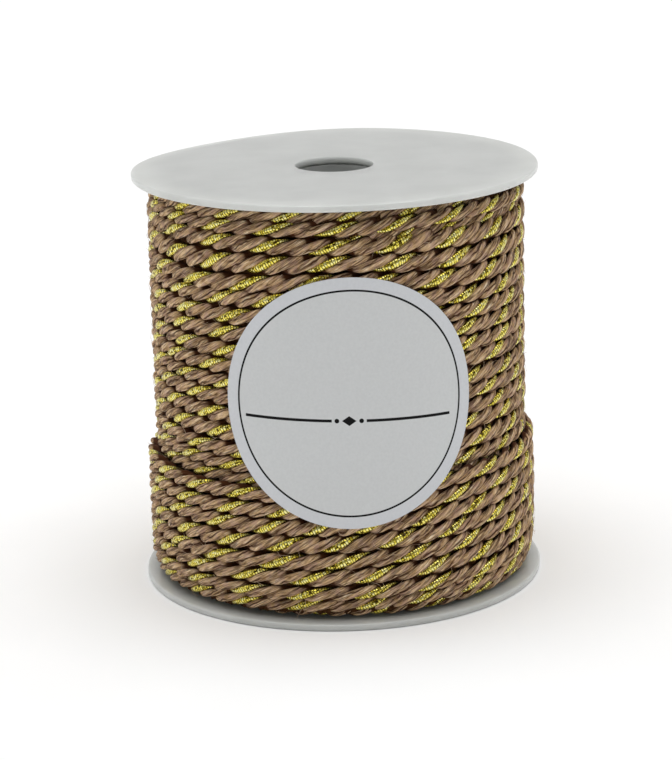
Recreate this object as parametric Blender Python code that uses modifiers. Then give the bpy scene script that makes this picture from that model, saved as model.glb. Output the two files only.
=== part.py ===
"""A plastic spool wound full of three-ply twisted cord, with a round paper label on its front.

The spool stands on its bottom flange. +Z is its axis, -Y is its front, and the origin is on the axis,
level with the surface that it stands on. The winding is one solid of its wound form: every turn of
cord that shows is a ridge, and the last layer stops part of the way up, which leaves a step.
"""

import math

import bmesh
import bpy
import numpy as np

MILLIMETRE = 0.001

# Driving dimensions, in metres
SPOOL_HEIGHT = 0.0788
FLANGE_RADIUS = 0.038
FLANGE_THICKNESS = 0.0013
RIM_ROUNDING = 0.0004
ARBOR_RADIUS = 0.0073
ARBOR_CHAMFER = 0.0003
BARREL_WALL = 0.002
CORD_DIAMETER = 0.003
UPPER_CREST_RADIUS = 0.0354
LOWER_CREST_RADIUS = 0.0370
STEP_HEIGHT = 0.0270
LABEL_DIAMETER = 0.0466
LABEL_HEIGHT = 0.0427
LABEL_THICKNESS = 0.0004
LABEL_TURN = math.radians(3.1)
FIT_GAP = 0.0003

# The top flange is sprung down a little at its back left edge.
WARP_DROP = 0.0009
WARP_START_RADIUS = 0.030
WARP_RINGS = (0.030, 0.0335, 0.036)
WARP_CENTRE = math.radians(135)
WARP_HALF_WIDTH = math.radians(60)

# How far the label takes to come in from the lower layer to the upper one
LABEL_LEAN_TOP = 0.046

# Resolution
FLANGE_SEGMENTS = 60
BARREL_SEGMENTS = 48
WINDING_SEGMENTS = 40
LABEL_SEGMENTS = 36
LABEL_RINGS = 5
RIM_STEPS = 2
SHARP_ANGLE = math.radians(40)

# Each turn of the layer that shows above the step, from the top flange down, in millimetres:
# height at 45 degrees left of the front, height at 45 degrees right of it, and how far the turn sits
# inside the rest of its layer
UPPER_TURNS = (
    (75.7, 75.7, 0.6),
    (73.5, 74.5, 0.0),
    (70.9, 70.3, 0.0),
    (67.1, 66.4, 0.0),
    (63.2, 62.8, 0.0),
    (60.3, 59.4, 0.0),
    (57.1, 56.4, 0.0),
    (54.0, 53.0, 0.0),
    (50.8, 50.1, 0.0),
    (47.7, 47.4, 0.0),
    (44.7, 44.0, 0.0),
    (41.8, 41.2, 0.0),
    (38.5, 38.3, 0.0),
    (35.5, 35.5, 0.0),
    (32.0, 32.0, 0.0),
    (29.6, 29.0, 0.0),
    (26.7, 26.6, 0.3),
)

# The same for the last layer, from the bottom flange up to the step
LOWER_TURNS = (
    (3.0, 3.1, 1.8),
    (4.0, 4.7, 0.7),
    (6.1, 7.2, 0.0),
    (9.0, 10.5, 0.0),
    (12.0, 13.7, 0.0),
    (15.3, 17.0, 0.0),
    (18.5, 20.3, 0.0),
    (21.4, 23.3, 0.0),
    (24.5, 26.4, 0.0),
)

# The tables give a turn's height this far before and after the front, as a share of a turn.
SIDE = 1 / 8
# Rows added past both ends of a table, so that the band is cut off level
SPARE_TURNS = 2
MEAN_PITCH = 0.0031
LINES_PER_TURN = 4
SHOULDER_SHARE = 0.55
VALLEY_DEPTH = 0.36 * CORD_DIAMETER
SHOULDER_DEPTH = 0.07 * CORD_DIAMETER

# Derived sizes
BARREL_RADIUS = ARBOR_RADIUS + BARREL_WALL
TOP_FLANGE_BASE = SPOOL_HEIGHT - FLANGE_THICKNESS
WINDING_BASE = FLANGE_THICKNESS + FIT_GAP
WINDING_TOP = TOP_FLANGE_BASE - 2 * FIT_GAP
WINDING_BORE_RADIUS = BARREL_RADIUS + FIT_GAP


def clear_scene():
    for leftover in list(bpy.data.objects):
        bpy.data.objects.remove(leftover)


def make_material(name, colour, roughness):
    """A Principled material; the colour is linear RGB."""
    material = bpy.data.materials.new(name)
    material.use_nodes = True
    shader = material.node_tree.nodes["Principled BSDF"]
    shader.inputs["Base Color"].default_value = (*colour, 1.0)
    shader.inputs["Roughness"].default_value = roughness
    shader.inputs["Metallic"].default_value = 0.0
    return material


def finish_piece(name, bm, material, collection):
    """Turns a bmesh into a shaded object of the collection."""
    bmesh.ops.recalc_face_normals(bm, faces=bm.faces)
    mesh = bpy.data.meshes.new(name)
    bm.to_mesh(mesh)
    bm.free()
    mesh.shade_smooth()
    mesh.set_sharp_from_angle(angle=SHARP_ANGLE)
    mesh.materials.append(material)
    piece = bpy.data.objects.new(name, mesh)
    collection.objects.link(piece)
    return piece


def turned_ring(profile, segments):
    """Spins a closed outline of (radius, height) points about the Z axis."""
    bm = bmesh.new()
    corners = [bm.verts.new((radius, 0.0, height)) for radius, height in profile]
    sides = [bm.edges.new((a, b)) for a, b in zip(corners, corners[1:] + corners[:1])]
    bmesh.ops.spin(
        bm,
        geom=corners + sides,
        cent=(0, 0, 0),
        axis=(0, 0, 1),
        dvec=(0, 0, 0),
        angle=2 * math.pi,
        steps=segments,
        use_merge=True,
    )
    return bm


def flange_outline(base, between=()):
    """A flat ring with a rounded rim and a small chamfer round the arbor hole.

    between lists the radii of extra rings on both faces, for a flange that is bent afterwards.
    """
    top = base + FLANGE_THICKNESS
    rim_centre = FLANGE_RADIUS - RIM_ROUNDING
    outline = [
        (ARBOR_RADIUS, base + ARBOR_CHAMFER),
        (ARBOR_RADIUS, top - ARBOR_CHAMFER),
        (ARBOR_RADIUS + ARBOR_CHAMFER, top),
    ]
    outline += [(radius, top) for radius in between]
    for centre, start in ((top - RIM_ROUNDING, 90), (base + RIM_ROUNDING, 0)):
        for step in range(RIM_STEPS + 1):
            angle = math.radians(start - 90 * step / RIM_STEPS)
            radius = rim_centre + RIM_ROUNDING * math.cos(angle)
            outline.append((radius, centre + RIM_ROUNDING * math.sin(angle)))
    outline += [(radius, base) for radius in reversed(between)]
    outline.append((ARBOR_RADIUS + ARBOR_CHAMFER, base))
    return outline


def warp_drop(x, y):
    """How far the top flange is sprung down at a point."""
    reach = (math.hypot(x, y) - WARP_START_RADIUS) / (FLANGE_RADIUS - WARP_START_RADIUS)
    away = math.atan2(y, x) - WARP_CENTRE
    away = math.atan2(math.sin(away), math.cos(away))
    if reach <= 0 or abs(away) >= WARP_HALF_WIDTH:
        return 0.0
    return WARP_DROP * reach**2 * math.cos(away / WARP_HALF_WIDTH * math.pi / 2) ** 2


def build_bottom_flange(collection, plastic):
    bm = turned_ring(flange_outline(0.0), FLANGE_SEGMENTS)
    return finish_piece("bottom_flange", bm, plastic, collection)


def build_top_flange(collection, plastic):
    bm = turned_ring(flange_outline(TOP_FLANGE_BASE, WARP_RINGS), FLANGE_SEGMENTS)
    for vert in bm.verts:
        vert.co.z -= warp_drop(vert.co.x, vert.co.y)
    return finish_piece("top_flange", bm, plastic, collection)


def build_barrel(collection, plastic):
    low = FLANGE_THICKNESS + FIT_GAP
    high = TOP_FLANGE_BASE - FIT_GAP
    outline = [(ARBOR_RADIUS, low), (ARBOR_RADIUS, high), (BARREL_RADIUS, high), (BARREL_RADIUS, low)]
    return finish_piece("barrel", turned_ring(outline, BARREL_SEGMENTS), plastic, collection)


class Layer:
    """One layer of turns: its heights and crest radius at any number of turns along the cord."""

    def __init__(self, turns, crest_radius):
        self.count = len(turns)
        step = math.copysign(MEAN_PITCH, turns[-1][0] - turns[0][0])
        places, heights, radii = [], [], []
        for index in range(-SPARE_TURNS - 1, self.count + SPARE_TURNS + 1):
            nearest = min(max(index, 0), self.count - 1)
            left, right, inset = (value * MILLIMETRE for value in turns[nearest])
            beyond = (index - nearest) * step
            places += [index - SIDE, index + SIDE]
            heights += [left + beyond, right + beyond]
            radii += [crest_radius - inset] * 2
        self.places, self.heights, self.radii = places, heights, radii

    def height(self, turn):
        return float(np.interp(turn, self.places, self.heights))

    def crest(self, turn):
        return float(np.interp(turn, self.places, self.radii))

    def line(self, index, angle):
        """Radius and height of one of the lines that run along the turns, at an angle from the front.

        A turn has four: its crest, a shoulder, the valley before the next turn, and that turn's shoulder.
        """
        whole, part = divmod(index, LINES_PER_TURN)
        turn = whole + angle / (2 * math.pi)
        height, crest = self.height(turn), self.crest(turn)
        if part == 0:
            return crest, height
        next_height, next_crest = self.height(turn + 1), self.crest(turn + 1)
        valley = (height + next_height) / 2
        if part == 1:
            return crest - SHOULDER_DEPTH, height + SHOULDER_SHARE * (valley - height)
        if part == 2:
            return min(crest, next_crest) - VALLEY_DEPTH, valley
        shoulder = next_height + SHOULDER_SHARE * (valley - next_height)
        return next_crest - SHOULDER_DEPTH, shoulder


def ring_point(radius, angle, height):
    """A point at an angle from the front, -Y, counted towards +X."""
    return (radius * math.sin(angle), -radius * math.cos(angle), height)


def segment_angle(segment):
    return -math.pi + 2 * math.pi * segment / WINDING_SEGMENTS


def level_ring(bm, radius, height):
    return [
        bm.verts.new(ring_point(radius, segment_angle(segment), height))
        for segment in range(WINDING_SEGMENTS)
    ]


def join_rings(bm, first, second):
    for segment in range(WINDING_SEGMENTS):
        following = (segment + 1) % WINDING_SEGMENTS
        bm.faces.new((first[segment], first[following], second[following], second[segment]))


def wound_band(bm, layer, crest_radius, low, high):
    """Adds a layer's ridged surface between two levels, and returns its two level end rings."""
    low_ring = level_ring(bm, crest_radius - VALLEY_DEPTH, low)
    high_ring = level_ring(bm, crest_radius - VALLEY_DEPTH, high)
    first = -SPARE_TURNS * LINES_PER_TURN
    last = (layer.count + SPARE_TURNS) * LINES_PER_TURN
    grid = {}
    for segment in range(WINDING_SEGMENTS):
        angle = segment_angle(segment)
        for index in range(first, last + 1):
            radius, height = layer.line(index, angle)
            if height <= low:
                grid[segment, index] = low_ring[segment]
            elif height >= high:
                grid[segment, index] = high_ring[segment]
            else:
                grid[segment, index] = bm.verts.new(ring_point(radius, angle, height))
    for index in range(first, last + 1):
        # A full turn further round, each line has become the line one turn along.
        grid[WINDING_SEGMENTS, index] = grid[0, min(index + LINES_PER_TURN, last)]
    for segment in range(WINDING_SEGMENTS):
        for index in range(first, last):
            corners = (
                grid[segment, index],
                grid[segment + 1, index],
                grid[segment + 1, index + 1],
                grid[segment, index + 1],
            )
            face = list(dict.fromkeys(corners))
            if len(face) >= 3:
                bm.faces.new(face)
    return low_ring, high_ring


def build_winding(collection, cord):
    bm = bmesh.new()
    lower = Layer(LOWER_TURNS, LOWER_CREST_RADIUS)
    upper = Layer(UPPER_TURNS, UPPER_CREST_RADIUS)
    foot, step_outer = wound_band(bm, lower, LOWER_CREST_RADIUS, WINDING_BASE, STEP_HEIGHT)
    step_inner, head = wound_band(bm, upper, UPPER_CREST_RADIUS, STEP_HEIGHT, WINDING_TOP)
    bore_foot = level_ring(bm, WINDING_BORE_RADIUS, WINDING_BASE)
    bore_head = level_ring(bm, WINDING_BORE_RADIUS, WINDING_TOP)
    join_rings(bm, step_outer, step_inner)
    join_rings(bm, head, bore_head)
    join_rings(bm, bore_head, bore_foot)
    join_rings(bm, bore_foot, foot)
    return finish_piece("cord_winding", bm, cord, collection)


def label_radius(height):
    """The label's inner face: on the lower layer below the step, leaning in to the upper layer above it."""
    share = (height - STEP_HEIGHT) / (LABEL_LEAN_TOP - STEP_HEIGHT)
    share = min(max(share, 0.0), 1.0)
    ease = share * share * (3 - 2 * share)
    outer = LOWER_CREST_RADIUS + FIT_GAP
    inner = UPPER_CREST_RADIUS + FIT_GAP
    return outer + (inner - outer) * ease


def build_label(collection, paper):
    bm = bmesh.new()
    bmesh.ops.create_circle(bm, cap_ends=True, radius=LABEL_DIAMETER / 2, segments=LABEL_SEGMENTS)
    middle = list(bm.faces)
    ring_width = LABEL_DIAMETER / 2 / (LABEL_RINGS + 1)
    for _ in range(LABEL_RINGS):
        bmesh.ops.inset_region(bm, faces=middle, thickness=ring_width, use_boundary=True)
    bmesh.ops.poke(bm, faces=middle)
    for vert in bm.verts:
        height = LABEL_HEIGHT + vert.co.y
        radius = label_radius(height)
        vert.co = ring_point(radius, LABEL_TURN + vert.co.x / radius, height)
    label = finish_piece("label", bm, paper, collection)
    sheet = label.modifiers.new("paper thickness", "SOLIDIFY")
    sheet.thickness = LABEL_THICKNESS
    sheet.offset = 1.0
    return label


def main():
    clear_scene()
    collection = bpy.data.collections.new("twisted_cord_spool")
    bpy.context.scene.collection.children.link(collection)
    plastic = make_material("milky_plastic", (0.60, 0.62, 0.60), 0.3)
    cord = make_material("twisted_cord", (0.17, 0.12, 0.085), 0.85)
    paper = make_material("label_paper", (0.58, 0.60, 0.62), 0.6)
    build_bottom_flange(collection, plastic)
    build_top_flange(collection, plastic)
    build_barrel(collection, plastic)
    build_winding(collection, cord)
    build_label(collection, paper)


main()
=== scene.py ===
"""Looks of a plastic spool wound full of twisted cord, with a round paper label on its front.

The cord has three plies, two of brown yarn and one of gold yarn. Every ply of the cord that shows is a
tube that follows its own helix round the cord, while the cord follows the turns of the winding. Angles
are counted from the front, -Y, towards +X, and lengths are in metres unless a comment says mm.
"""

import math
from collections import namedtuple

import bmesh
import bpy
import numpy as np
from mathutils import Matrix, Vector


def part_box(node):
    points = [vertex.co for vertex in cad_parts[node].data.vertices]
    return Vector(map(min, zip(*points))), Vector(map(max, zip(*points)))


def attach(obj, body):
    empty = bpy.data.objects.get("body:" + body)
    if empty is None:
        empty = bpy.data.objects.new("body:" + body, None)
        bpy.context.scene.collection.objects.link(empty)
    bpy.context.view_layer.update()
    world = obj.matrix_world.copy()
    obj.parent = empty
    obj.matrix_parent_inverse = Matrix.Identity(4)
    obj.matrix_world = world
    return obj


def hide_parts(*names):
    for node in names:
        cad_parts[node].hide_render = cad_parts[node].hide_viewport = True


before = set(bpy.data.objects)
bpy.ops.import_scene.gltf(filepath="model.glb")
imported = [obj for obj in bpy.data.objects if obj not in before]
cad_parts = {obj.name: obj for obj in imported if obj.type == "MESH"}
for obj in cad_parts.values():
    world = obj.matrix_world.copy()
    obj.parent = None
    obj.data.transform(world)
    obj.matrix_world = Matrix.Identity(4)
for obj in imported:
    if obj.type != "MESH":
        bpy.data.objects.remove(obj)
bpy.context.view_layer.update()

MM = 0.001
FULL_TURN = 2 * math.pi

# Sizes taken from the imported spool
FLANGE_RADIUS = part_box("bottom_flange")[1].x
FLANGE_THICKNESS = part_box("bottom_flange")[1].z
SPOOL_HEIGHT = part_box("top_flange")[1].z
TOP_FLANGE_BASE = SPOOL_HEIGHT - FLANGE_THICKNESS
BARREL_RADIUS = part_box("barrel")[1].x
BARREL_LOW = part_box("barrel")[0].z
BARREL_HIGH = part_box("barrel")[1].z

# Sizes that the spool's own model is built from
ARBOR_RADIUS = 7.3 * MM
UPPER_CREST_RADIUS = 35.4 * MM
LOWER_CREST_RADIUS = 37.0 * MM
STEP_HEIGHT = 27.0 * MM
LABEL_RADIUS = 23.3 * MM
LABEL_TURN = math.radians(3.1)
LABEL_LEAN_TOP = 46.0 * MM
RIM_ROUNDING = 0.4 * MM
FIT_GAP = 0.3 * MM

# The label as it lies here: the height of its middle, half of its own height, and its paper
LABEL_HEIGHT = 42.4 * MM
LABEL_HALF_HEIGHT = 23.0 * MM
LABEL_THICKNESS = 0.2 * MM

# What is printed on the label, in mm on its flat sheet
RING_RADIUS = 20.9
RING_HALF_WIDTH = 0.18
LINE_HEIGHT = -3.2
LINE_TILT = math.radians(-1.5)
LINE_CENTRE = -0.45
LINE_HALF_LENGTH = 19.1
LINE_HALF_WIDTH = 0.26
LINE_GAP = 3.1
LOZENGE_HALF_HEIGHT = 0.9
LOZENGE_FLATNESS = 0.7
DOT_DISTANCE = 2.2
DOT_RADIUS = 0.42
INK_EDGE = 0.06

# The top flange is sprung down on one side
WARP_DROP = 0.9 * MM
WARP_START_RADIUS = 30 * MM
WARP_CENTRE = math.radians(135)
WARP_HALF_WIDTH = math.radians(60)

# How finely the spool and its label are built. The corners of the bore are only just broken.
FLANGE_SEGMENTS = 180
TUBE_SEGMENTS = 96
PLATE_RINGS = 6
RIM_STEPS = 5
BORE_ROUNDING = 0.25 * MM
BORE_STEPS = 2
LABEL_SEGMENTS = 120
LABEL_RINGS = 22

# The plies of the two yarns, brown and plump or gold and thinner. A ply's offset is from the cord's
# middle to its own, its radius is measured away from the cord's middle, and its spread is measured round
# the cord. Its taper is how much thinner it is pressed where it meets the turns above and below. It
# lingers on the outer side of the winding, which is the longer way round, and crosses quickly at the
# back. It is built in so many rings for each lay, which crowd together on the outer side, and in so many
# sides to a ring, which crowd together where the ply shows.
Yarn = namedtuple("Yarn", "offset radius spread taper linger rings crowding sides")
BROWN = Yarn(
    offset=0.80 * MM,
    radius=0.76 * MM,
    spread=0.67 * MM,
    taper=0.10,
    linger=0.40,
    rings=18,
    crowding=0.35,
    sides=14,
)
GOLD = Yarn(
    offset=0.86 * MM,
    radius=0.61 * MM,
    spread=0.64 * MM,
    taper=0.36,
    linger=0.32,
    rings=24,
    crowding=0.45,
    sides=10,
)
SIDE_CROWDING = 0.3

# The cord: how far round it each brown ply lies from the gold one, and the degrees of the winding that
# one lay of it takes
CORD_RADIUS = 1.56 * MM
BROWN_SHARE = 111 / 360
LAY_ANGLE = 18.8

# What a ply is made of. A brown one has three yarns, which slant by so much of a yarn for each mm. The
# groove between two yarns reaches into each by a share of its width. A gold one has ribs of foil, so many
# mm apart, and the gap between two ribs reaches into each by a share of the spacing. Each rib catches the
# light in facets of its own, whose tones, the palest of them painted glints, are read this far on from the
# last rib's in the same noise.
YARNS_IN_PLY = 3
YARN_SLANT = 0.05
GROOVE_REACH = 0.20
RIB_SPACING = 0.45
GAP_REACH = 0.24
FACETS_ROUND = 8.0
FACET_STEP = 3.7

# How the turns press on each other: how much taller than its share of the height a turn is, how much
# taller than round it is at least and at most, and how square its section gets, where 2 is round
PRESSED = 1.16
LEAST_STRETCH, MOST_STRETCH = 1.0, 1.42
SQUARENESS = 2.6

# How uneven the winding is. Each pair is the spacing of new values and the most that they may be. The
# cord drifts in and out and up and down, and a ply up and down, with spacings in turns. A ply also swells
# by a share of its radius, with its spacing along the ply. Each point of its surface is uneven by a share
# of its radius.
DRIFT_IN = (0.06, 0.10 * MM)
DRIFT_UP = (0.07, 0.08 * MM)
PLY_DRIFT_UP = (0.012, 0.03 * MM)
PLY_SWELL = (4 * MM, 0.04)
PLY_UNEVENNESS = 0.02

# Every turn of the layer above the step, from the top flange down. Columns in mm: height 45 degrees
# left of the front, at the front and 45 degrees right of it, then how far the turn sits in on the left
# and on the right. The last column has the angles, in degrees, at which the gold ply faces straight out.
UPPER_TURNS = (
    (75.7, 75.7, 75.7, 0.6, 2.2, (-35.5, -16, 42)),
    (73.5, 73.7, 74.7, 0.0, 0.0, (-39, 0, 17.5, 36.5, 54)),
    (70.9, 70.6, 70.3, 0.0, 0.0, (-39.5, -2, 17.5, 37)),
    (66.9, 67.6, 66.4, 0.0, 0.0, (-40, -3, 38, 60)),
    (63.1, 64.3, 62.8, 0.0, 0.0, (-48.5, 52)),
    (60.3, 61.1, 59.3, 0.0, 0.0, (-38, -21.5, 41.5)),
    (57.1, 57.6, 56.3, 0.0, 0.0, (-34.5, 47.5)),
    (54.0, 53.8, 53.3, 0.0, 0.0, (-38, 41.5)),
    (50.8, 50.5, 50.3, 0.0, 0.0, (-36.5, 42)),
    (47.7, 47.6, 47.4, 0.0, 0.0, (-43, 56)),
    (44.7, 44.4, 44.0, 0.0, 0.0, (-36.5, 43)),
    (41.8, 41.5, 41.2, 0.0, 0.0, (-49.5, 51.5)),
    (38.5, 38.4, 38.3, 0.0, 0.0, (-44.5, 56.5)),
    (35.2, 35.4, 35.6, 0.0, 0.0, (-40, 42)),
    (31.9, 31.9, 32.0, 0.0, 0.0, (-50, 48.5)),
    (29.3, 29.2, 29.0, 0.0, 0.0, (-35.5, 40.5)),
    (26.7, 26.7, 26.6, 0.3, 0.3, (-48, 47)),
    (23.7, 23.6, 23.5, 0.8, 0.9, (-42, 46)),
)

# The same for the last layer, from the bottom flange up to the step
LOWER_TURNS = (
    (3.0, 3.0, 3.1, 2.4, 1.4, (-22, 30, 49)),
    (3.8, 4.3, 4.7, 0.7, 0.6, (-49.5, -12.5, 8.5, 24, 42)),
    (6.2, 6.6, 7.3, 0.0, 0.0, (-49, -11.5, 9, 27.5, 47)),
    (9.1, 9.7, 10.8, 0.0, 0.0, (-49, -10, 9, 45)),
    (12.0, 12.7, 13.9, 0.0, 0.0, (-40.5, -19, 0.5, 20.5, 39)),
    (15.3, 16.1, 17.0, 0.0, 0.0, (-35, -17.5, 15.5, 34, 51.5)),
    (18.6, 19.2, 20.3, 0.0, 0.0, (-39, -22, 8, 42)),
    (21.4, 22.4, 23.3, 0.0, 0.0, (-35, 35.5)),
    (24.5, 25.2, 26.4, 0.0, 0.0, (-48, -31.5, 47.5)),
)

# The same for a strand of the layer below, which peeps out between two wide-set turns near the top, on
# the right and behind
PEEPING_TURNS = (
    (71.5, 71.9, 72.5, 0.0, 0.0, (6, 36)),
    (68.9, 68.8, 68.7, 0.0, 0.0, (-49,)),
)
PEEPING_CREST_RADIUS = 34.5 * MM

# The tables give a turn's height this far before and after the front, as a share of a turn. The gold ply
# comes round evenly for so many lays before the first angle and after the last.
SIDE = 1 / 8
EVEN_LAYS = 40

# Where each layer starts and ends, in turns from the front of its first turn, and over how much of a
# turn it comes up from, or goes down into, the layers under it
UPPER_SPAN = (-0.85, 17.45)
LOWER_SPAN = (-0.35, 8.42)
PEEPING_SPAN = (-0.04, 0.88)
TUCK_LENGTH = 0.10
TUCK_DEPTH = 2.6 * MM

# Under each outer layer, the next one fills the grooves between its turns. It is a coarse rope with the
# same lay, in three strands of three sides each, and a plain core closes what is deeper still.
BURIED_RADIUS = 1.5 * MM
BURIED_DEPTH = 1.25 * MM
BURIED_SIDES = 9
BURIED_RINGS = 7
BURIED_GROOVE = 0.75
CORE_RADIUS = 31.8 * MM

# Loose fibres that stand out of the brown yarn. A real one is about 0.02 mm thick, and these are drawn
# thicker, so that they show. Each is rooted under the crest of a turn, and its tip is at a share of the
# reach over it. It heads either way along the cord, give or take the scatter, in radians, and it bends
# by a share of its length.
FIBRE_COUNT = 1000
FIBRE_RADIUS = 0.04 * MM
FIBRE_TAPER = 0.6
FIBRE_POINTS = 5
FIBRE_LENGTHS = (1.0 * MM, 4.0 * MM)
FIBRE_HEIGHTS = (4 * MM, 73 * MM)
FIBRE_ROOT_DEPTH = 0.5 * MM
FIBRE_REACH = 0.35 * MM
FIBRE_TIPS = (-0.5, 1.0)
FIBRE_SCATTER = 0.7
FIBRE_BENDS = (-0.25, 0.25)

# The setting of a Map Range node whose passage is eased
EASED = {"interpolation_type": "SMOOTHSTEP"}


def linear(code):
    """An sRGB hex colour as linear RGBA."""
    channels = [int(code[i : i + 2], 16) / 255 for i in (1, 3, 5)]
    return tuple(c / 12.92 if c <= 0.04045 else ((c + 0.055) / 1.055) ** 2.4 for c in channels) + (1.0,)


def fill(tree, node, inputs):
    """Fills a node's sockets, given by name or number.

    Another node is linked by its first output in use, a socket is linked, a hex code is set as a colour,
    and anything else is set as it is.
    """
    for name, value in inputs.items():
        if isinstance(value, bpy.types.Node):
            value = next(socket for socket in value.outputs if socket.enabled)
        if isinstance(value, bpy.types.NodeSocket):
            tree.links.new(value, node.inputs[name])
        elif isinstance(value, str):
            node.inputs[name].default_value = linear(value)
        else:
            node.inputs[name].default_value = value


def put(tree, kind, inputs=None, stops=(), **settings):
    """Adds a node with its settings, its links and the values of its sockets.

    stops are the places and hex colours of a ramp. A Mix of two colours has its factor at socket 0 and
    the colours at 6 and 7.
    """
    made = tree.nodes.new("ShaderNode" + kind)
    for name, value in settings.items():
        setattr(made, name, value)
    fill(tree, made, inputs or {})
    if stops:
        elements = made.color_ramp.elements
        while len(elements) < len(stops):
            elements.new(1.0)
        for element, (place, code) in zip(elements, stops):
            element.position = place
            element.color = linear(code)
    return made


def new_material(name):
    """A material with its tree and its Principled shader."""
    material = bpy.data.materials.new(name)
    material.use_nodes = True
    tree = material.node_tree
    return material, tree, tree.nodes["Principled BSDF"]


def ply_map(tree, round_it, along_it):
    """The ply's own map, in so many units for each turn round the ply and for each mm along it."""
    where = put(tree, "UVMap", uv_map="ply")
    return put(tree, "VectorMath", {0: where, 1: (round_it, along_it, 1.0)}, operation="MULTIPLY")


def streaks(tree, round_it, along_it, detail=2.0, roughness=0.5):
    """Noise drawn out along the ply, in the units of its map.

    A brown ply is 4.5 mm round and a gold one 3.9 mm, so 10 units round it give marks about 0.4 mm wide,
    and 0.4 units for each mm along it make them 2.5 mm long.
    """
    where = ply_map(tree, round_it, along_it)
    shape = {"Vector": where, "Scale": 1.0, "Detail": detail, "Roughness": roughness}
    return put(tree, "TexNoise", shape, noise_dimensions="2D")


def mottled(tree, size, detail):
    """Noise through the space that a piece lies in, with marks of about the given size in metres."""
    where = put(tree, "TexCoord").outputs["Object"]
    return put(tree, "TexNoise", {"Vector": where, "Scale": 1 / size, "Detail": detail})


def in_depth(tree, from_depth, to_depth):
    """0 on the outside of the cord and 1 deep between plies and turns, where the yarns are painted dark as
    shade. Depths are in cord radii.
    """
    where = put(tree, "UVMap", uv_map="depth")
    depth = put(tree, "SeparateXYZ", {"Vector": where}).outputs["X"]
    return put(tree, "MapRange", {"Value": depth, "From Min": from_depth, "From Max": to_depth}, **EASED)


def brown_yarn():
    """Brown ply: spun viscose, matt, streaked by its fibres, with painted shade in the grooves between its
    yarns, in its fine creases and deep in the winding.

    A real fibre is about 0.02 mm wide. The streaks are bundles of them, 0.35 mm wide and 2 mm long, so that
    they show. They lie in paler and darker patches 0.9 mm wide, and some stretches of yarn have faded.
    """
    material, tree, shader = new_material("brown_viscose_yarn")
    fibres = streaks(tree, 13.0, 0.45, detail=3.0, roughness=0.6)
    patches = put(tree, "Math", {0: streaks(tree, 5.0, 0.4), 1: 0.25}, operation="MULTIPLY")
    mottle = put(tree, "Math", {0: fibres, 1: 0.75, 2: patches}, operation="MULTIPLY_ADD")
    thread = put(
        tree,
        "ValToRGB",
        {"Fac": mottle},
        [(0.32, "#86643F"), (0.43, "#BE9A70"), (0.54, "#DEBC90"), (0.63, "#F2D6AE"), (0.70, "#FFEED0")],
    )
    fading = {"Value": streaks(tree, 3.0, 0.8), "From Min": 0.42, "From Max": 0.68, "To Max": 0.5}
    faded = put(tree, "MapRange", fading, **EASED)
    thread = put(tree, "Mix", {0: faded, 6: thread, 7: "#B8938A"}, data_type="RGBA")

    where = put(tree, "SeparateXYZ", {"Vector": ply_map(tree, YARNS_IN_PLY, YARN_SLANT)})
    yarn = put(tree, "Math", {0: where.outputs["X"], 1: where.outputs["Y"]}, operation="ADD")
    yarn = put(tree, "Math", {0: yarn, 1: streaks(tree, 1.0, 0.35)}, operation="ADD")
    from_groove = put(tree, "Math", {0: yarn, 1: 0.5}, operation="PINGPONG")
    near = {"Value": from_groove, "From Min": GROOVE_REACH, "From Max": 0.0}
    groove = put(tree, "MapRange", near, **EASED)
    uneven = streaks(tree, 1.5, 0.2)
    strength = put(tree, "MapRange", {"Value": uneven, "From Min": 0.35, "From Max": 0.60}, **EASED)
    strength = put(tree, "Math", {0: strength, 1: 0.2}, operation="ADD", use_clamp=True)
    groove = put(tree, "Math", {0: groove, 1: strength}, operation="MULTIPLY")
    # The grooves between yarns are painted dark here, as shade.
    thread = put(tree, "Mix", {0: groove, 6: thread, 7: "#4A2A14"}, data_type="RGBA")

    drawn = put(tree, "Math", {0: streaks(tree, 9.0, 0.15, detail=1.0), 1: 0.5}, operation="SUBTRACT")
    drawn = put(tree, "Math", {0: drawn}, operation="ABSOLUTE")
    hairline = put(tree, "MapRange", {"Value": drawn, "From Min": 0.075, "From Max": 0.0}, **EASED)
    faint = put(tree, "Math", {0: hairline, 1: 0.7}, operation="MULTIPLY")
    # The fine creases along the ply are painted dark here, as shade.
    thread = put(tree, "Mix", {0: faint, 6: thread, 7: "#3C2412"}, data_type="RGBA")
    # Deep between plies and turns the yarn is painted dark, as shade.
    colour = put(tree, "Mix", {0: in_depth(tree, 0.42, 0.72), 6: thread, 7: "#50290A"}, data_type="RGBA")

    height = put(tree, "Math", {0: fibres, 1: groove}, operation="SUBTRACT")
    height = put(tree, "Math", {0: height, 1: hairline}, operation="SUBTRACT")
    relief = put(tree, "Bump", {"Strength": 0.9, "Distance": 0.10 * MM, "Height": height})
    fill(tree, shader, {"Base Color": colour, "Normal": relief, "Roughness": 0.85})
    fill(tree, shader, {"Sheen Weight": 0.06, "Sheen Roughness": 0.5, "Specular IOR Level": 0.2})
    return material


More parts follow.
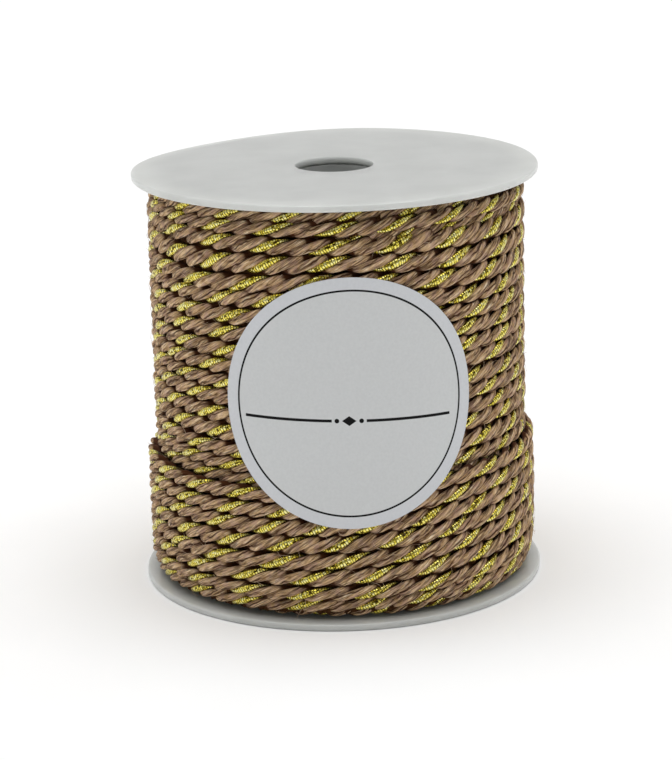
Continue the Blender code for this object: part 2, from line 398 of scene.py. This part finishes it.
def gold_yarn():
    """Gold ply: metallised foil wound round a core, so it is ribbed across and glints; its facets also
    carry painted glints and shade.

    It is painted dark between the ribs and deep in the winding, as shade. Real ribs are about 0.3 mm apart,
    and these are 0.45 mm apart, so that they show.
    """
    material, tree, shader = new_material("gold_foil_yarn")
    where = put(tree, "SeparateXYZ", {"Vector": ply_map(tree, 1.0, 1 / RIB_SPACING)})
    rib = put(tree, "Math", {0: where.outputs["Y"], 1: where.outputs["X"]}, operation="ADD")
    rib = put(tree, "Math", {0: rib, 1: streaks(tree, 2.5, 0.8)}, operation="ADD")
    from_gap = put(tree, "Math", {0: rib, 1: 0.5}, operation="PINGPONG")
    crest = put(tree, "MapRange", {"Value": from_gap, "From Min": 0.0, "From Max": GAP_REACH}, **EASED)

    across = put(tree, "Math", {0: where.outputs["X"], 1: FACETS_ROUND}, operation="MULTIPLY")
    number = put(tree, "Math", {0: rib}, operation="FLOOR")
    number = put(tree, "Math", {0: number, 1: FACET_STEP}, operation="MULTIPLY")
    place = put(tree, "CombineXYZ", {"X": across, "Y": number})
    shape = {"Vector": place, "Scale": 1.0, "Detail": 1.0, "Roughness": 0.5}
    facet = put(tree, "TexNoise", shape, noise_dimensions="2D")
    # Each facet's tone is drawn at random: the foil's gold, with painted glints in the palest stops and
    # painted shade in the darkest.
    foil = put(
        tree,
        "ValToRGB",
        {"Fac": facet},
        [(0.32, "#584804"), (0.40, "#CCB82E"), (0.46, "#FCE85A"), (0.56, "#FFF280"), (0.66, "#FFF8AC")],
    )

    uneven = streaks(tree, 3.0, 1.3)
    gap_shade_strength = put(tree, "MapRange", {"Value": uneven, "From Min": 0.30, "From Max": 0.55}, **EASED)
    gap_shade_strength = put(tree, "Math", {0: gap_shade_strength, 1: 0.55}, operation="ADD", use_clamp=True)
    between = put(tree, "Math", {0: 1.0, 1: crest}, operation="SUBTRACT")
    gap = put(tree, "Math", {0: between, 1: gap_shade_strength}, operation="MULTIPLY")
    # Between the ribs the foil is painted dark, as shade, more strongly in some stretches than others.
    foil = put(tree, "Mix", {0: gap, 6: foil, 7: "#302500"}, data_type="RGBA")
    # Deep between plies and turns the foil is painted dark, as shade.
    colour = put(tree, "Mix", {0: in_depth(tree, 0.6, 1.1), 6: foil, 7: "#3A2C06"}, data_type="RGBA")

    height = put(tree, "Math", {0: crest, 1: facet}, operation="ADD")
    relief = put(tree, "Bump", {"Strength": 0.85, "Distance": 0.08 * MM, "Height": height})
    fill(tree, shader, {"Base Color": colour, "Normal": relief, "Metallic": 0.8, "Roughness": 0.25})
    return material


def shaded_yarn(name, dark, pale):
    """Turns that lie deep in the winding: the same yarn, dull, and painted dark as shade, where little
    light reaches.
    """
    material, tree, shader = new_material(name)
    cloudy = mottled(tree, 0.4 * MM, 3.0)
    colour = put(tree, "ValToRGB", {"Fac": cloudy}, [(0.35, dark), (0.65, pale)])
    fill(tree, shader, {"Base Color": colour, "Roughness": 0.95, "Specular IOR Level": 0.1})
    return material


def fibre():
    """Single viscose fibres: pale brown, with a slight gloss."""
    material, tree, shader = new_material("viscose_fibre")
    tone = mottled(tree, 2 * MM, 1.0)
    colour = put(tree, "ValToRGB", {"Fac": tone}, [(0.35, "#8C6B50"), (0.65, "#D9C0A2")])
    fill(tree, shader, {"Base Color": colour, "Roughness": 0.5})
    return material


def milky_plastic():
    """Flanges and barrel: injection-moulded milky polystyrene, smooth, slightly cloudy, satin gloss."""
    material, tree, shader = new_material("milky_polystyrene")
    clouds = mottled(tree, 9 * MM, 3.0)
    colour = put(tree, "ValToRGB", {"Fac": clouds}, [(0.35, "#BFC1BE"), (0.65, "#C7C9C6")])
    fill(tree, shader, {"Base Color": colour, "Roughness": 0.28, "IOR": 1.55, "Subsurface Weight": 1.0})
    fill(tree, shader, {"Subsurface Radius": (1.0, 1.0, 1.0), "Subsurface Scale": 4.0 * MM})
    return material


def label_paper():
    """Label: smooth coated paper, printed with a thin ring and one line.

    The line has a gap at its middle, with a small lozenge between two dots. The grain is 0.5 mm wide.
    """
    material, tree, shader = new_material("coated_label_paper")
    where = put(tree, "UVMap", uv_map="flat_label")
    apart = put(tree, "SeparateXYZ", {"Vector": where})
    across, up = apart.outputs["X"], apart.outputs["Y"]
    out = put(tree, "VectorMath", {0: where}, operation="LENGTH")

    def away(value, place):
        """How far a value is from a place on the sheet, either way."""
        difference = put(tree, "Math", {0: value, 1: place}, operation="SUBTRACT")
        return put(tree, "Math", {0: difference}, operation="ABSOLUTE")

    def inked(distance, half_width):
        """1 where a distance is under half_width, with a soft edge."""
        edge = put(tree, "Math", {0: half_width + INK_EDGE / 2, 1: distance}, operation="SUBTRACT")
        return put(tree, "Math", {0: edge, 1: INK_EDGE}, operation="DIVIDE", use_clamp=True)

    from_middle = away(across, LINE_CENTRE)
    slope = math.tan(LINE_TILT)
    sloping = put(tree, "Math", {0: across, 1: slope, 2: LINE_HEIGHT}, operation="MULTIPLY_ADD")
    from_line = away(up, sloping)
    outside = put(tree, "Math", {0: from_middle, 1: LINE_GAP}, operation="GREATER_THAN")
    inside = put(tree, "Math", {0: from_middle, 1: LINE_HALF_LENGTH}, operation="LESS_THAN")
    length = put(tree, "Math", {0: outside, 1: inside}, operation="MULTIPLY")
    line = put(tree, "Math", {0: inked(from_line, LINE_HALF_WIDTH), 1: length}, operation="MULTIPLY")
    sides = {0: from_middle, 1: LOZENGE_FLATNESS, 2: from_line}
    lozenge = inked(put(tree, "Math", sides, operation="MULTIPLY_ADD"), LOZENGE_HALF_HEIGHT)
    aside = put(tree, "Math", {0: from_middle, 1: DOT_DISTANCE}, operation="SUBTRACT")
    dot_place = put(tree, "CombineXYZ", {"X": aside, "Y": from_line})
    dots = inked(put(tree, "VectorMath", {0: dot_place}, operation="LENGTH"), DOT_RADIUS)
    ink = inked(away(out, RING_RADIUS), RING_HALF_WIDTH)
    for mark in (line, lozenge, dots):
        ink = put(tree, "Math", {0: ink, 1: mark}, operation="MAXIMUM")

    grain = mottled(tree, 0.5 * MM, 3.0)
    field = put(tree, "ValToRGB", {"Fac": grain}, [(0.3, "#DADCDC"), (0.7, "#DFE1E1")])
    border = put(tree, "ValToRGB", {"Fac": grain}, [(0.3, "#DBDDE0"), (0.7, "#E0E2E5")])
    beyond = put(tree, "Math", {0: out, 1: RING_RADIUS}, operation="GREATER_THAN")
    paper = put(tree, "Mix", {0: beyond, 6: field, 7: border}, data_type="RGBA")
    colour = put(tree, "Mix", {0: ink, 6: paper, 7: "#060607"}, data_type="RGBA")
    fill(tree, shader, {"Base Color": colour, "Roughness": 0.6, "Specular IOR Level": 0.2})
    return material


def wander(places, spacing, amount, seed):
    """A smooth random drift of at most the given amount, with a new value at every spacing."""
    knots = np.arange(places.min() - spacing, places.max() + 2 * spacing, spacing)
    values = np.random.default_rng(seed).uniform(-amount, amount, len(knots))
    index = np.clip(((places - knots[0]) / spacing).astype(int), 0, len(knots) - 2)
    share = (places - knots[index]) / spacing
    ease = share * share * (3 - 2 * share)
    return values[index] * (1 - ease) + values[index + 1] * ease


class Layer:
    """One layer of cord: where its middle runs, and how far its plies have turned."""

    def __init__(self, turns, crest_radius, span, seed):
        self.span = span
        self.seed = seed
        self.path_radius = crest_radius - CORD_RADIUS
        self.places, self.heights, self.insets, facing = [], [], [], []
        for index, (left, front, right, left_inset, right_inset, gold) in enumerate(turns):
            self.places += [index - SIDE, index, index + SIDE]
            self.heights += [left * MM, front * MM, right * MM]
            self.insets += [left_inset * MM, (left_inset + right_inset) / 2 * MM, right_inset * MM]
            facing += [index + angle / 360 for angle in gold]
        # From one such angle to the next the cord takes a whole number of lays.
        lay = LAY_ANGLE / 360
        self.facing = np.array([facing[0] - EVEN_LAYS * lay, *facing, facing[-1] + EVEN_LAYS * lay])
        self.lays = np.concatenate([[0], np.cumsum(np.round(np.diff(self.facing) / lay))])

    def middle(self, turn):
        """Radius and height of the cord's middle after so many turns."""
        start, end = self.span
        height = np.interp(turn, self.places, self.heights)
        inset = np.interp(turn, self.places, self.insets)
        tucked = np.minimum(turn - start, end - turn) / TUCK_LENGTH
        inset += TUCK_DEPTH * (1 - np.clip(tucked, 0, 1)) ** 2
        inset += wander(turn, *DRIFT_IN, self.seed)
        height += wander(turn, *DRIFT_UP, self.seed + 1)
        return self.path_radius - inset, height

    def stretch(self, turn):
        """How much taller than round the cord is pressed, so that it meets the turns above and below."""
        before = np.interp(turn - 1, self.places, self.heights)
        after = np.interp(turn + 1, self.places, self.heights)
        share_of_height = np.abs(after - before) / 2
        return np.clip(PRESSED * share_of_height / (2 * CORD_RADIUS), LEAST_STRETCH, MOST_STRETCH)


def unit(vectors):
    """The same directions, with a length of 1."""
    return vectors / np.linalg.norm(vectors, axis=1, keepdims=True)


def directions(turn):
    """Outward and upward after so many turns round the spool."""
    angle = FULL_TURN * turn
    flat = np.zeros_like(angle)
    return np.stack([np.sin(angle), -np.cos(angle), flat], 1), np.stack([flat, flat, flat + 1], 1)


def ring_points(centre, radii, around, first, second):
    """Rings of points round their centres, in the plane of two directions. Both end rings are points."""
    radii[0] = radii[-1] = 0.0
    spokes = np.cos(around)[..., None] * first[:, None] + np.sin(around)[..., None] * second[:, None]
    return centre[:, None] + radii[..., None] * spokes


def ply_section(yarn):
    """Angles and radii round a ply of oval section, more closely set where it shows."""
    place = FULL_TURN * (np.arange(yarn.sides + 1) / yarn.sides - 0.5)
    around = place - SIDE_CROWDING * np.sin(place)
    reach = np.hypot(yarn.spread * np.cos(around), yarn.radius * np.sin(around))
    return around, yarn.radius * yarn.spread / reach


def ply_tube(name, layer, yarn, share, seed):
    """One ply of one layer, as a closed tube. share is how far round the cord it is from the gold one."""
    first, last = (np.interp(end, layer.facing, layer.lays) for end in layer.span)
    steps = np.arange(math.ceil((first + share) * yarn.rings), (last + share) * yarn.rings)
    lays = steps / yarn.rings
    lays = lays - yarn.crowding * np.sin(FULL_TURN * lays) / FULL_TURN
    turn = np.interp(lays - share, layer.lays, layer.facing)
    radius, height = layer.middle(turn)
    height = height + wander(turn, *PLY_DRIFT_UP, seed)
    outward, upward = directions(turn)

    phase = (FULL_TURN * lays - yarn.linger * np.sin(FULL_TURN * lays))[:, None]
    aside = np.cos(phase) * outward + np.sin(phase) * upward
    centre = radius[:, None] * outward + height[:, None] * upward + yarn.offset * aside
    tangent = unit(np.gradient(centre, axis=0))
    normal = unit(aside - (aside * tangent).sum(1, keepdims=True) * tangent)
    travelled = np.concatenate([[0], np.cumsum(np.linalg.norm(np.diff(centre, axis=0), axis=1))])

    around, radii = ply_section(yarn)
    swell = 1 + wander(travelled, *PLY_SWELL, seed + 3) - yarn.taper * np.sin(phase[:, 0]) ** 2
    radii = radii[None, :] * swell[:, None]
    unevenness = np.random.default_rng(seed + 4).uniform(-PLY_UNEVENNESS, PLY_UNEVENNESS, radii.shape)
    radii = radii * (1 + unevenness)
    radii[:, 0] = radii[:, -1]
    points = ring_points(centre, radii, around, normal, np.cross(normal, tangent))

    out = (points * outward[:, None]).sum(2) - radius[:, None]
    rise = points[..., 2] - height[:, None]
    squared = (abs(out) ** SQUARENESS + abs(rise) ** SQUARENESS) ** (1 / SQUARENESS)
    fuller = np.hypot(out, rise) / squared
    points += ((fuller - 1) * out)[..., None] * outward[:, None]
    points[..., 2] = height[:, None] + fuller * rise * layer.stretch(turn)[:, None]
    depth = 1 - out * fuller / CORD_RADIUS
    return tube_from_rings(name, points, around / FULL_TURN, travelled / MM, depth)


def buried_rope(name, layer):
    """The turns that lie in the grooves behind a layer, as one rope with three strands in its outline."""
    lays_per_turn = 360 / LAY_ANGLE
    turn = np.arange(layer.span[0], layer.span[1] - 1, 1 / (lays_per_turn * BURIED_RINGS))
    outward, upward = directions(turn)
    groove_height = layer.middle(turn + 0.5)[1]
    centre = (layer.path_radius - BURIED_DEPTH) * outward + groove_height[:, None] * upward
    slots = np.arange(BURIED_SIDES + 1)
    around = FULL_TURN * slots[None, :] / BURIED_SIDES + FULL_TURN * lays_per_turn * turn[:, None]
    outline = BURIED_RADIUS * np.where(slots % 3 == 0, BURIED_GROOVE, 1.0)
    radii = np.tile(outline, (len(turn), 1))
    points = ring_points(centre, radii, around, outward, upward)
    travelled = FULL_TURN * turn * layer.path_radius
    return tube_from_rings(name, points, slots / BURIED_SIDES, travelled / MM, np.ones_like(radii))


def tube_from_rings(name, points, across, along, depth):
    """Bends a flat grid into a tube through rings of points, and closes its seam and both ends.

    Its map called ply has how far round the tube a point is, in turns, and how far along, in mm. Its map
    called depth has how far the point lies under the outside of the cord, in cord radii.
    """
    ring_count, per_ring = points.shape[:2]
    bpy.ops.object.select_all(action="DESELECT")
    bpy.ops.mesh.primitive_grid_add(
        x_subdivisions=per_ring - 1, y_subdivisions=ring_count - 1, size=2.0, calc_uvs=True
    )
    piece = bpy.context.object
    piece.name = name
    mesh = piece.data
    mesh.name = name
    mesh.uv_layers[0].name = "ply"
    mesh.uv_layers.new(name="depth")
    mesh.vertices.foreach_set("co", points.astype(np.float32).ravel())
    corner = np.empty(len(mesh.loops), np.int32)
    mesh.loops.foreach_get("vertex_index", corner)
    across, along = np.broadcast_arrays(across[None, :], along[:, None])
    for layer, values in (("ply", (across, along)), ("depth", (depth, depth))):
        flat = np.stack(values, 2).reshape(-1, 2)[corner].astype(np.float32)
        mesh.uv_layers[layer].uv.foreach_set("vector", flat.ravel())
    mesh.update()
    bpy.ops.object.mode_set(mode="EDIT")
    bpy.ops.mesh.select_all(action="SELECT")
    bpy.ops.mesh.remove_doubles(threshold=0.0001 * MM)
    bpy.ops.mesh.normals_make_consistent(inside=False)
    bpy.ops.object.mode_set(mode="OBJECT")
    bpy.ops.object.shade_smooth()
    return piece


def finish_piece(piece, material, slot, *nodes):
    """Gives a piece its material and its place in the spool, and hides the CAD nodes that it stands for."""
    piece.data.materials.clear()
    piece.data.materials.append(material)
    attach(piece, "root")
    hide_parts(*nodes)


def build_plies(where, layer, brown, gold):
    """The two brown plies and the gold one of a layer, each with a seed of its own."""
    for side, share, seed in (("a", BROWN_SHARE, 100), ("b", -BROWN_SHARE, 200)):
        ply = ply_tube(f"brown_ply_{side}_{where}", layer, BROWN, share, layer.seed + seed)
        finish_piece(ply, brown, "twisted_cord", "cord_winding")
    ply = ply_tube(f"gold_ply_{where}", layer, GOLD, 0.0, layer.seed + 300)
    finish_piece(ply, gold, "twisted_cord", "cord_winding")


def build_cord():
    """Both outer layers with what lies under them, the strand that peeps out, and a core."""
    brown, gold = brown_yarn(), gold_yarn()
    # The buried turns are the yarn painted dark, as shade.
    buried = shaded_yarn("buried_yarn_painted_shade", "#3A2110", "#58381E")
    outer_layers = (
        ("upper", Layer(UPPER_TURNS, UPPER_CREST_RADIUS, UPPER_SPAN, 11)),
        ("lower", Layer(LOWER_TURNS, LOWER_CREST_RADIUS, LOWER_SPAN, 23)),
    )
    for where, layer in outer_layers:
        build_plies(where, layer, brown, gold)
        rope = buried_rope(f"buried_turns_{where}", layer)
        finish_piece(rope, buried, "twisted_cord", "cord_winding")
    peeping = Layer(PEEPING_TURNS, PEEPING_CREST_RADIUS, PEEPING_SPAN, 37)
    build_plies("peeping", peeping, brown, gold)
    low, high = FLANGE_THICKNESS + FIT_GAP, TOP_FLANGE_BASE - 2 * FIT_GAP
    core = turned_plate("winding_core", low, high, CORE_RADIUS, BARREL_RADIUS + FIT_GAP, TUBE_SEGMENTS)
    # The core is the yarn painted darker still, as shade.
    deep = shaded_yarn("deep_yarn_painted_shade", "#2E1908", "#4E3017")
    finish_piece(core, deep, "twisted_cord", "cord_winding")


def build_loose_fibres():
    """Thin bent fibres, each rooted in a turn, that lean over the turns beside it."""
    draw = np.random.default_rng(41)
    data = bpy.data.curves.new("loose_fibres", "CURVE")
    data.dimensions = "3D"
    data.bevel_depth = FIBRE_RADIUS
    data.bevel_resolution = 0
    data.use_fill_caps = True
    share = np.linspace(0, 1, FIBRE_POINTS)
    bow = np.sin(math.pi * share)
    for _ in range(FIBRE_COUNT):
        length = draw.uniform(*FIBRE_LENGTHS)
        heading = draw.normal(0.0, FIBRE_SCATTER) + math.pi * draw.integers(2)
        bend = draw.uniform(*FIBRE_BENDS) * length
        around = length * share * math.cos(heading) - bend * bow * math.sin(heading)
        upward = length * share * math.sin(heading) + bend * bow * math.cos(heading)
        height = draw.uniform(*FIBRE_HEIGHTS) + upward
        crest = np.where(height < STEP_HEIGHT, LOWER_CREST_RADIUS, UPPER_CREST_RADIUS).min()
        reach = FIBRE_REACH * draw.uniform(*FIBRE_TIPS)
        radius = crest - FIBRE_ROOT_DEPTH * (1 - share) ** 2 + reach * share
        angle = draw.uniform(0, FULL_TURN) + around / crest
        spline = data.splines.new("POLY")
        spline.points.add(FIBRE_POINTS - 1)
        places = np.stack([radius * np.sin(angle), -radius * np.cos(angle), height, share * 0 + 1], 1)
        spline.points.foreach_set("co", places.ravel())
        spline.points.foreach_set("radius", 1 - FIBRE_TAPER * share)
    piece = bpy.data.objects.new("loose_fibres", data)
    bpy.context.scene.collection.objects.link(piece)
    bpy.ops.object.select_all(action="DESELECT")
    piece.select_set(True)
    bpy.context.view_layer.objects.active = piece
    bpy.ops.object.convert(target="MESH")
    finish_piece(bpy.context.object, fibre(), "twisted_cord", "cord_winding")


def warp_drop(x, y):
    """How far the top flange is sprung down at a point."""
    reach = (math.hypot(x, y) - WARP_START_RADIUS) / (FLANGE_RADIUS - WARP_START_RADIUS)
    away = math.atan2(y, x) - WARP_CENTRE
    away = math.atan2(math.sin(away), math.cos(away))
    if reach <= 0 or abs(away) >= WARP_HALF_WIDTH:
        return 0.0
    return WARP_DROP * reach**2 * math.cos(away / WARP_HALF_WIDTH * math.pi / 2) ** 2


def round_edges(piece, radius, width, steps):
    """Rounds the level edges that lie at a radius."""
    close, level = 0.05 * MM, 0.01 * MM
    bm = bmesh.new()
    bm.from_mesh(piece.data)
    chosen = [
        edge
        for edge in bm.edges
        if all(abs(vert.co.xy.length - radius) < close for vert in edge.verts)
        and abs(edge.verts[0].co.z - edge.verts[1].co.z) < level
    ]
    bmesh.ops.bevel(bm, geom=chosen, offset=width, segments=steps, profile=0.5, affect="EDGES")
    bm.to_mesh(piece.data)
    bm.free()


def turned_plate(name, low, high, outer, inner, segments, roundings=()):
    """A disc or tube with a bore: a cylinder whose ends are inset to the bore and bridged.

    roundings has the radius at which a corner lies, and the width and steps of its rounding.
    """
    bpy.ops.object.select_all(action="DESELECT")
    bpy.ops.mesh.primitive_cylinder_add(
        vertices=segments, radius=outer, depth=high - low, end_fill_type="NGON"
    )
    piece = bpy.context.object
    piece.name = name
    piece.data.name = name
    piece.location.z = (low + high) / 2
    bpy.ops.object.transform_apply(location=True, rotation=True, scale=True)
    bpy.ops.object.mode_set(mode="EDIT")
    bpy.ops.mesh.select_mode(type="FACE")
    bpy.ops.mesh.select_all(action="DESELECT")
    bm = bmesh.from_edit_mesh(piece.data)
    for face in bm.faces:
        face.select = abs(face.normal.z) > 0.9
    bmesh.update_edit_mesh(piece.data)
    for _ in range(PLATE_RINGS):
        bpy.ops.mesh.inset(thickness=(outer - inner) / PLATE_RINGS, use_even_offset=True)
    bpy.ops.mesh.bridge_edge_loops()
    bpy.ops.mesh.select_all(action="DESELECT")
    bpy.ops.object.mode_set(mode="OBJECT")
    for radius, width, steps in roundings:
        round_edges(piece, radius, width, steps)
    bpy.ops.object.shade_smooth_by_angle(angle=math.radians(35))
    return piece


def build_spool():
    """Both flanges and the barrel that joins them."""
    plastic = milky_plastic()
    flange = (FLANGE_RADIUS, ARBOR_RADIUS, FLANGE_SEGMENTS)
    rounded = ((FLANGE_RADIUS, RIM_ROUNDING, RIM_STEPS), (ARBOR_RADIUS, BORE_ROUNDING, BORE_STEPS))
    bottom = turned_plate("bottom_end_plate", 0.0, FLANGE_THICKNESS, *flange, rounded)
    finish_piece(bottom, plastic, "milky_plastic", "bottom_flange")
    top = turned_plate("top_end_plate", TOP_FLANGE_BASE, SPOOL_HEIGHT, *flange, rounded)
    for vert in top.data.vertices:
        vert.co.z -= warp_drop(vert.co.x, vert.co.y)
    finish_piece(top, plastic, "milky_plastic", "top_flange")
    wall = (BARREL_RADIUS, ARBOR_RADIUS, TUBE_SEGMENTS)
    tube = turned_plate("barrel_tube", BARREL_LOW, BARREL_HIGH, *wall)
    finish_piece(tube, plastic, "milky_plastic", "barrel")


def label_radius(height):
    """The label's inner face: on the lower layer up to the step, and from there leaning in to the upper."""
    share = min(max((height - STEP_HEIGHT) / (LABEL_LEAN_TOP - STEP_HEIGHT), 0.0), 1.0)
    ease = share * share * (3 - 2 * share)
    return LOWER_CREST_RADIUS + FIT_GAP + (UPPER_CREST_RADIUS - LOWER_CREST_RADIUS) * ease


def build_label():
    """A round sticker, cut flat with its own flat map and then laid on the winding."""
    bpy.ops.object.select_all(action="DESELECT")
    bpy.ops.mesh.primitive_circle_add(vertices=LABEL_SEGMENTS, radius=LABEL_RADIUS, fill_type="NGON")
    label = bpy.context.object
    label.name = "round_label"
    label.data.name = "round_label"
    bpy.ops.object.mode_set(mode="EDIT")
    bpy.ops.mesh.select_all(action="SELECT")
    for _ in range(LABEL_RINGS):
        bpy.ops.mesh.inset(thickness=LABEL_RADIUS / (LABEL_RINGS + 1), use_even_offset=True)
    bpy.ops.mesh.poke()
    bpy.ops.object.mode_set(mode="OBJECT")
    mesh = label.data
    layer = mesh.uv_layers.new(name="flat_label")
    for loop in mesh.loops:
        corner = mesh.vertices[loop.vertex_index].co
        layer.uv[loop.index].vector = (corner.x / MM, corner.y / MM)
    for vert in mesh.vertices:
        height = LABEL_HEIGHT + vert.co.y * LABEL_HALF_HEIGHT / LABEL_RADIUS
        radius = label_radius(height)
        angle = LABEL_TURN + vert.co.x / radius
        vert.co = (radius * math.sin(angle), -radius * math.cos(angle), height)
    sheet = label.modifiers.new("paper thickness", "SOLIDIFY")
    sheet.thickness = LABEL_THICKNESS
    sheet.offset = 1.0
    bpy.ops.object.modifier_apply(modifier=sheet.name)
    bpy.ops.object.shade_smooth_by_angle(angle=math.radians(40))
    finish_piece(label, label_paper(), "label_paper", "label")


def build_floor():
    """A plain pale floor, wide enough to fill the view."""
    bpy.ops.object.select_all(action="DESELECT")
    bpy.ops.mesh.primitive_plane_add(size=6.0)
    floor = bpy.context.object
    floor.name = "studio_floor"
    material, tree, shader = new_material("white_card")
    grain = mottled(tree, 25 * MM, 2.0)
    colour = put(tree, "ValToRGB", {"Fac": grain}, [(0.3, "#F9F9F9"), (0.7, "#FBFBFB")])
    fill(tree, shader, {"Base Color": colour, "Roughness": 0.9, "Specular IOR Level": 0.0})
    fill(tree, shader, {"Emission Color": "#FFFFFF", "Emission Strength": 0.05})
    floor.data.materials.append(material)


def build_light():
    """A light tent: white all round but dimmer on the camera's side, with one very broad lamp above."""
    world = bpy.data.worlds.new("light_tent")
    world.use_nodes = True
    tree = world.node_tree
    way = put(tree, "SeparateXYZ", {"Vector": put(tree, "TexCoord").outputs["Generated"]})
    towards_back = {"Value": way.outputs["Y"], "From Min": -0.9, "From Max": 0.3}
    behind = put(tree, "MapRange", towards_back, **EASED)
    colour = put(tree, "Mix", {0: behind, 6: "#707070", 7: "#FFFFFF"}, data_type="RGBA")
    fill(tree, tree.nodes["Background"], {"Color": colour, "Strength": 0.64})
    bpy.context.scene.world = world
    lamp = bpy.data.lights.new("broad_lamp", "SUN")
    lamp.angle = math.radians(60)
    lamp.energy = 1.8
    sun = bpy.data.objects.new("broad_lamp", lamp)
    bpy.context.scene.collection.objects.link(sun)
    sun.rotation_euler = (math.radians(6), 0, 0)


def build_camera():
    """Stands in front, a little above, and leans slightly. Its place and lens are fitted to the flanges."""
    elevation, roll = math.radians(15.436), math.radians(1.445)
    distance, target = 527.657 * MM, Vector((-0.666, 0, 36.898)) * MM
    back = Vector((0, -math.cos(elevation), math.sin(elevation)))
    level = Vector((1, 0, 0))
    steep = back.cross(level)
    right = math.cos(roll) * level - math.sin(roll) * steep
    upward = math.sin(roll) * level + math.cos(roll) * steep
    data = bpy.data.cameras.new("front_camera")
    data.sensor_fit = "HORIZONTAL"
    data.sensor_width = 36.0
    data.lens = 147.98
    data.clip_start = 0.01
    camera = bpy.data.objects.new("front_camera", data)
    bpy.context.scene.collection.objects.link(camera)
    turned = Matrix((right, upward, back)).transposed().to_4x4()
    camera.matrix_world = Matrix.Translation(target + distance * back) @ turned
    bpy.context.scene.camera = camera


build_camera()
build_light()
build_floor()
build_spool()
build_label()
build_cord()
build_loose_fibres()
bpy.context.scene.view_settings.view_transform = "Standard"
